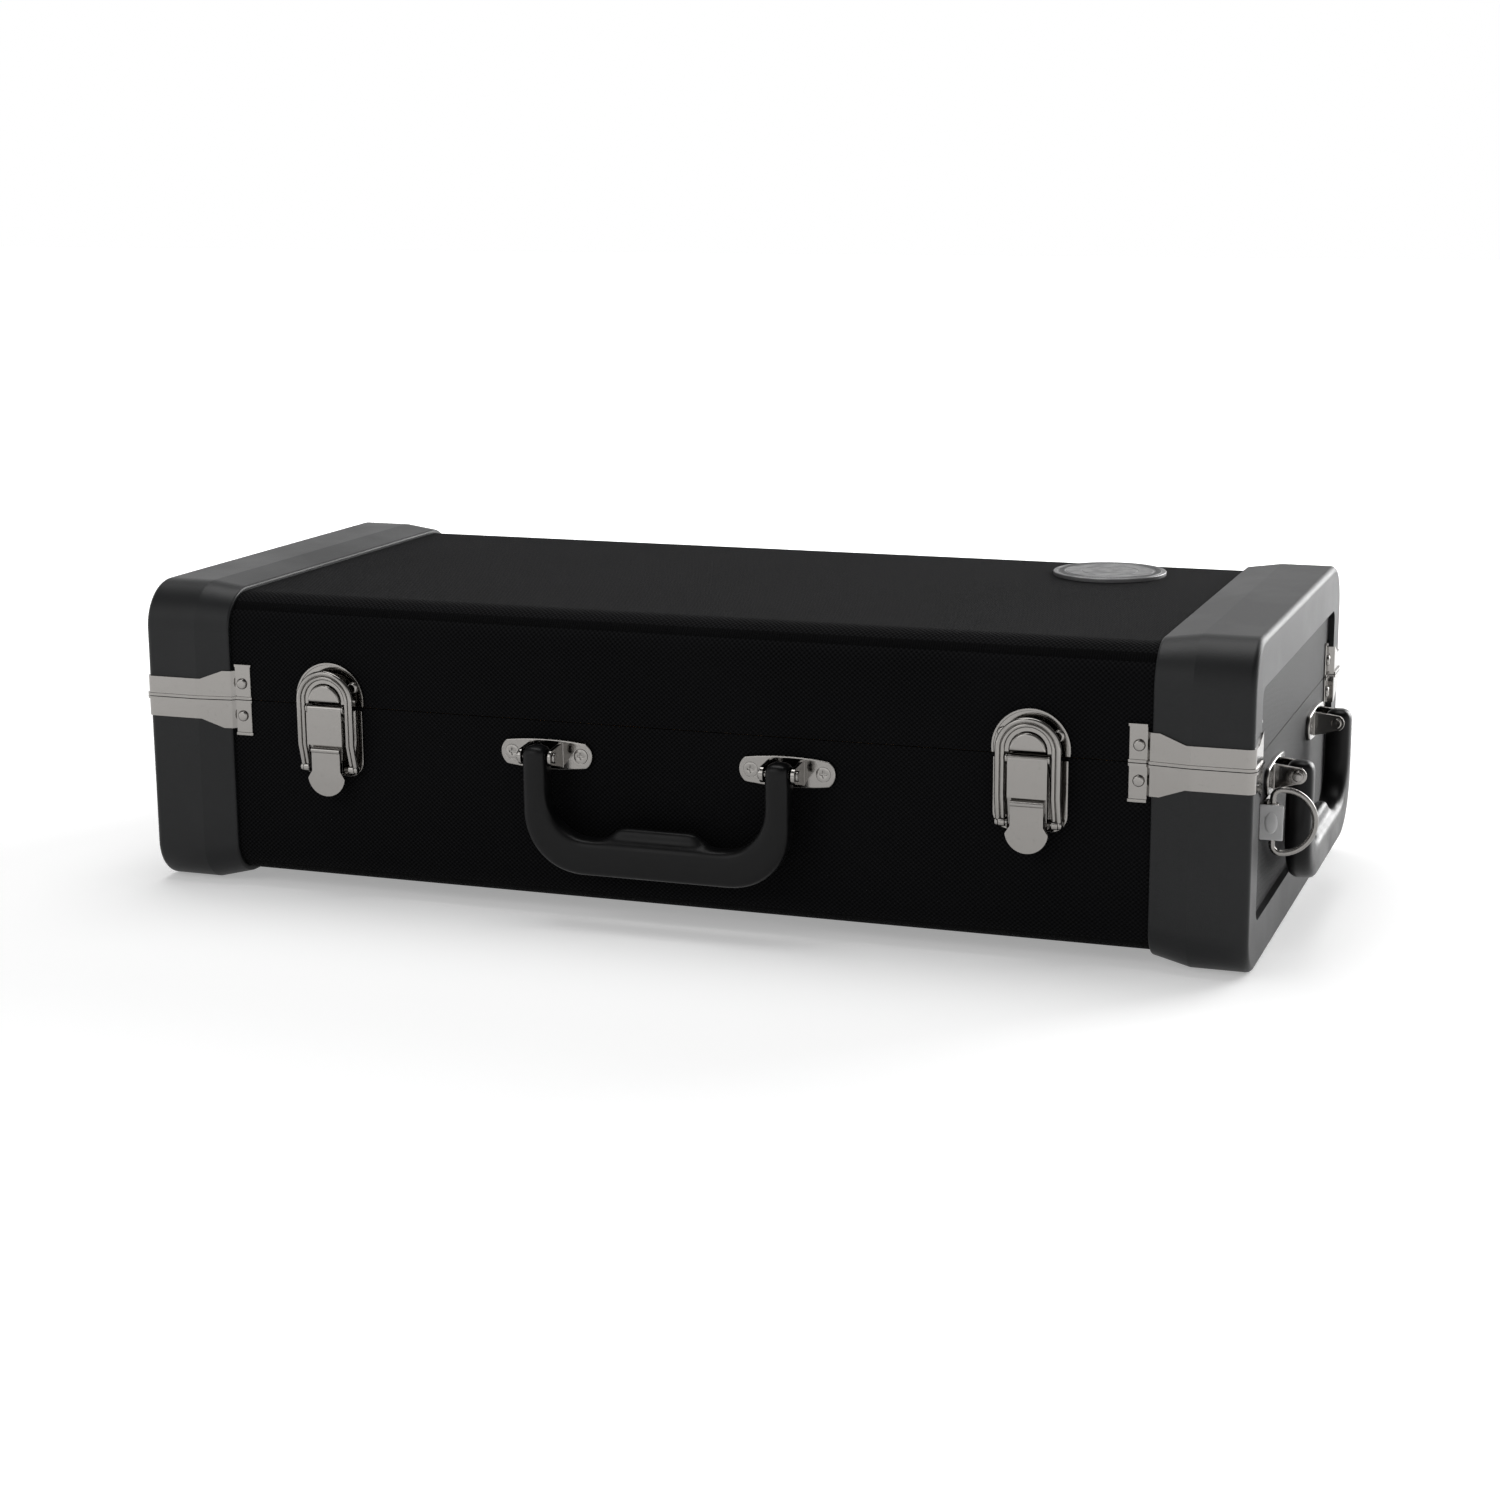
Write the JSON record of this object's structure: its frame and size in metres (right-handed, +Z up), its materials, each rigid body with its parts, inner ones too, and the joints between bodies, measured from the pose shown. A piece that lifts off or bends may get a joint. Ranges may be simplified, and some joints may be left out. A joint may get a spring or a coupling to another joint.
{
  "type": "trumpet case",
  "caption": "Hard trumpet case with a hinged lid, draw latches, corner clips, swinging handles on the front and one end, strap rings and a fitted plush inside.",
  "frame": {"origin": "middle of the whole object's box in plan, on the surface that the case lies on", "axes": "+X towards the end with the handle, -Y towards the latches and the front handle, +Z up with the case lying flat, lid on top"},
  "size_m": [0.6056, 0.2782, 0.154],
  "materials": {
    "black_covering": "coarse woven texture, satin",
    "shell_board": "bare plywood",
    "cap_plastic": "fine moulded grain, satin",
    "nickel": "bright nickel plate on pressed steel",
    "handle_plastic": "smooth moulding, satin",
    "badge_metal": "satin disc with raised rings",
    "plush": "short plush pile over foam and board",
    "pull_ribbon": "ribbed ribbon"
  },
  "bodies": {
    "base": {"base_shell": "shell_board", "base_covering": "black_covering", "base_cap_left": "cap_plastic", "base_cap_right": "cap_plastic", "base_corner_clips": "nickel", "base_clip_rivets": "nickel", "rim_tongue": "plush", "floor_liner": "plush", "liner_bell_front": "plush", "liner_bell_back": "plush", "liner_bell_end": "plush", "liner_back_rail": "plush", "liner_left_end": "plush", "liner_front_block": "plush", "mouthpiece_block": "plush", "accessory_box": "plush", "flap_hinge_cloth": "plush", "latch_left_base_plate": "nickel", "latch_right_base_plate": "nickel", "latch_lever_pins": "nickel", "latch_plate_rivets": "nickel", "front_handle_bracket_left": "nickel", "front_handle_bracket_right": "nickel", "end_handle_bracket_front": "nickel", "end_handle_bracket_back": "nickel", "handle_screws": "nickel", "front_handle_pins": "nickel", "end_handle_pins": "nickel", "d_ring_clip_right": "nickel", "d_ring_clip_left": "nickel", "d_ring_rivets": "nickel", "hinge_base_leaves": "nickel", "hinge_base_rivets": "nickel", "hinge_pins": "nickel"},
    "lid": {"lid_shell": "shell_board", "lid_covering": "black_covering", "lid_cap_left": "cap_plastic", "lid_cap_right": "cap_plastic", "lid_corner_clips": "nickel", "lid_clip_rivets": "nickel", "lid_liner": "plush", "badge": "badge_metal", "latch_left_catch": "nickel", "latch_right_catch": "nickel", "latch_catch_rivets": "nickel", "hinge_lid_leaves": "nickel", "hinge_lid_rivets": "nickel"},
    "latch_left_lever": {"latch_left_lever": "nickel", "latch_left_hasp_pin": "nickel"},
    "latch_right_lever": {"latch_right_lever": "nickel", "latch_right_hasp_pin": "nickel"},
    "latch_left_hasp": {"latch_left_hasp": "nickel"},
    "latch_right_hasp": {"latch_right_hasp": "nickel"},
    "front_handle": {"front_handle": "handle_plastic"},
    "end_handle": {"end_handle": "handle_plastic"},
    "d_ring_right": {"d_ring_right": "nickel"},
    "d_ring_left": {"d_ring_left": "nickel"},
    "accessory_flap": {"accessory_flap": "plush", "flap_pull_ribbon": "pull_ribbon"}
  },
  "joints": [
    {"name": "lid_hinge", "type": "hinge", "parent": "base", "child": "lid", "pos_m": [0, 0.1356, 0.097], "axis": [-1, 0, 0], "range_deg": [0, 100]},
    {"name": "latch_left_lever_turn", "type": "hinge", "parent": "base", "child": "latch_left_lever", "pos_m": [-0.1785, -0.126, 0.0965], "axis": [-1, 0, 0], "range_deg": [0, 118]},
    {"name": "latch_right_lever_turn", "type": "hinge", "parent": "base", "child": "latch_right_lever", "pos_m": [0.1785, -0.126, 0.0965], "axis": [-1, 0, 0], "range_deg": [0, 118]},
    {"name": "latch_left_hasp_turn", "type": "hinge", "parent": "latch_left_lever", "child": "latch_left_hasp", "pos_m": [-0.1785, -0.1237, 0.066], "axis": [-1, 0, 0], "range_deg": [-141.6, 0]},
    {"name": "latch_right_hasp_turn", "type": "hinge", "parent": "latch_right_lever", "child": "latch_right_hasp", "pos_m": [0.1785, -0.1237, 0.066], "axis": [-1, 0, 0], "range_deg": [-141.6, 0]},
    {"name": "front_handle_swing", "type": "hinge", "parent": "base", "child": "front_handle", "pos_m": [0, -0.1329, 0.082], "axis": [-1, 0, 0], "range_deg": [-4, 170]},
    {"name": "end_handle_swing", "type": "hinge", "parent": "base", "child": "end_handle", "pos_m": [0.29, 0.0096, 0.082], "axis": [0, -1, 0], "range_deg": [-4, 170]},
    {"name": "d_ring_right_swing", "type": "hinge", "parent": "base", "child": "d_ring_right", "pos_m": [0.2825, -0.0834, 0.0655], "axis": [0, 0, 1], "range_deg": [-97, 73]},
    {"name": "d_ring_left_swing", "type": "hinge", "parent": "base", "child": "d_ring_left", "pos_m": [-0.2825, -0.0834, 0.0655], "axis": [0, 0, -1], "range_deg": [-97, 73]},
    {"name": "accessory_flap_lift", "type": "hinge", "parent": "base", "child": "accessory_flap", "pos_m": [-0.165, -0.0452, 0.0655], "axis": [-1, 0, 0], "range_deg": [0, 90]}
  ],
  "couplings": [
    {"joint": "latch_left_hasp_turn", "follows": "latch_left_lever_turn", "ratio": -1.2},
    {"joint": "latch_right_hasp_turn", "follows": "latch_right_lever_turn", "ratio": -1.2}
  ]
}
